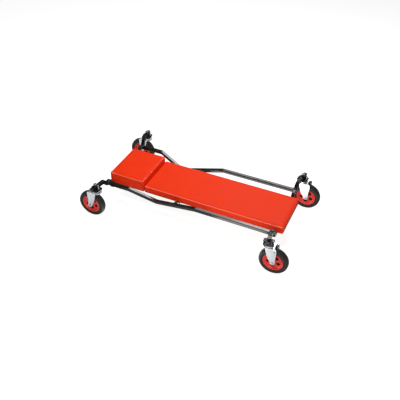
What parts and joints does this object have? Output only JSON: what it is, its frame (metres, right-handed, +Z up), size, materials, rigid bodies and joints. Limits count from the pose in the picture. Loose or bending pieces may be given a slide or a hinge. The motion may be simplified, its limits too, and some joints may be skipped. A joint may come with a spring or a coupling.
{
  "type": "mechanics creeper",
  "caption": "Low wheeled creeper: padded vinyl deck with a raised head cushion on a bent square-tube frame, carried on large swivel casters that are braked at the foot end.",
  "frame": {"origin": "on the floor under the middle of the creeper's overall box", "axes": "+Z up, +X from the head end to the foot end, +Y to the far side"},
  "size_m": [1.57, 0.8218, 0.2859],
  "materials": {
    "frame_paint": "black gloss paint",
    "zinc": "bright zinc plate",
    "black_bolt": "black oxide and paint",
    "steel": "bright steel",
    "rim_paint": "red gloss paint",
    "tyre": "matt black rubber",
    "brake_paint": "dark grey paint",
    "board": "dark stained plywood",
    "vinyl": "red vinyl, satin, fine grain"
  },
  "bodies": {
    "frame": {"arm_foot_far": "frame_paint", "arm_foot_near": "frame_paint", "arm_head_far": "frame_paint", "arm_head_near": "frame_paint", "arm_plate_foot_far": "frame_paint", "arm_plate_foot_near": "frame_paint", "arm_plate_head_far": "frame_paint", "arm_plate_head_near": "frame_paint", "cross_member_foot": "frame_paint", "cross_member_head": "frame_paint", "cross_member_middle": "frame_paint", "deck_board": "board", "head_cushion": "vinyl", "king_bolt_foot_far": "black_bolt", "king_bolt_foot_near": "black_bolt", "king_bolt_head_far": "black_bolt", "king_bolt_head_near": "black_bolt", "main_cushion": "vinyl", "plate_bolt_foot_far_a": "black_bolt", "plate_bolt_foot_far_b": "black_bolt", "plate_bolt_foot_near_a": "black_bolt", "plate_bolt_foot_near_b": "black_bolt", "plate_bolt_head_far_a": "black_bolt", "plate_bolt_head_far_b": "black_bolt", "plate_bolt_head_near_a": "black_bolt", "plate_bolt_head_near_b": "black_bolt", "side_rail_far": "frame_paint", "side_rail_near": "frame_paint", "swivel_bearing_foot_far": "steel", "swivel_bearing_foot_near": "steel", "swivel_bearing_head_far": "steel", "swivel_bearing_head_near": "steel", "top_plate_foot_far": "zinc", "top_plate_foot_near": "zinc", "top_plate_head_far": "zinc", "top_plate_head_near": "zinc"},
    "swivel_head_near": {"fork_head_near": "zinc", "axle_bolt_head_near": "steel"},
    "wheel_head_near": {"rim_head_near": "rim_paint", "tyre_head_near": "tyre"},
    "swivel_head_far": {"fork_head_far": "zinc", "axle_bolt_head_far": "steel"},
    "wheel_head_far": {"rim_head_far": "rim_paint", "tyre_head_far": "tyre"},
    "swivel_foot_near": {"fork_foot_near": "zinc", "axle_bolt_foot_near": "steel"},
    "wheel_foot_near": {"rim_foot_near": "rim_paint", "tyre_foot_near": "tyre"},
    "brake_foot_near": {"brake_lever_foot_near": "brake_paint"},
    "swivel_foot_far": {"fork_foot_far": "zinc", "axle_bolt_foot_far": "steel"},
    "wheel_foot_far": {"rim_foot_far": "rim_paint", "tyre_foot_far": "tyre"},
    "brake_foot_far": {"brake_lever_foot_far": "brake_paint"}
  },
  "joints": [
    {"name": "swivel_head_near_turn", "type": "hinge", "parent": "frame", "child": "swivel_head_near", "pos_m": [-0.64, -0.368, 0.22], "axis": [0, 0, 1], "continuous": true},
    {"name": "wheel_head_near_roll", "type": "hinge", "parent": "swivel_head_near", "child": "wheel_head_near", "pos_m": [-0.685, -0.368, 0.1], "axis": [0, 1, 0], "continuous": true},
    {"name": "swivel_head_far_turn", "type": "hinge", "parent": "frame", "child": "swivel_head_far", "pos_m": [-0.64, 0.368, 0.22], "axis": [0, 0, 1], "continuous": true},
    {"name": "wheel_head_far_roll", "type": "hinge", "parent": "swivel_head_far", "child": "wheel_head_far", "pos_m": [-0.685, 0.368, 0.1], "axis": [0, 1, 0], "continuous": true},
    {"name": "swivel_foot_near_turn", "type": "hinge", "parent": "frame", "child": "swivel_foot_near", "pos_m": [0.64, -0.359, 0.22], "axis": [0, 0, 1], "continuous": true},
    {"name": "wheel_foot_near_roll", "type": "hinge", "parent": "swivel_foot_near", "child": "wheel_foot_near", "pos_m": [0.685, -0.359, 0.1], "axis": [0, 1, 0], "continuous": true},
    {"name": "brake_foot_near_press", "type": "hinge", "parent": "swivel_foot_near", "child": "brake_foot_near", "pos_m": [0.6925, -0.359, 0.199], "axis": [0, 1, 0], "range_deg": [0, 6]},
    {"name": "swivel_foot_far_turn", "type": "hinge", "parent": "frame", "child": "swivel_foot_far", "pos_m": [0.64, 0.359, 0.22], "axis": [0, 0, 1], "continuous": true},
    {"name": "wheel_foot_far_roll", "type": "hinge", "parent": "swivel_foot_far", "child": "wheel_foot_far", "pos_m": [0.685, 0.359, 0.1], "axis": [0, 1, 0], "continuous": true},
    {"name": "brake_foot_far_press", "type": "hinge", "parent": "swivel_foot_far", "child": "brake_foot_far", "pos_m": [0.6925, 0.359, 0.199], "axis": [0, 1, 0], "range_deg": [0, 6]}
  ]
}
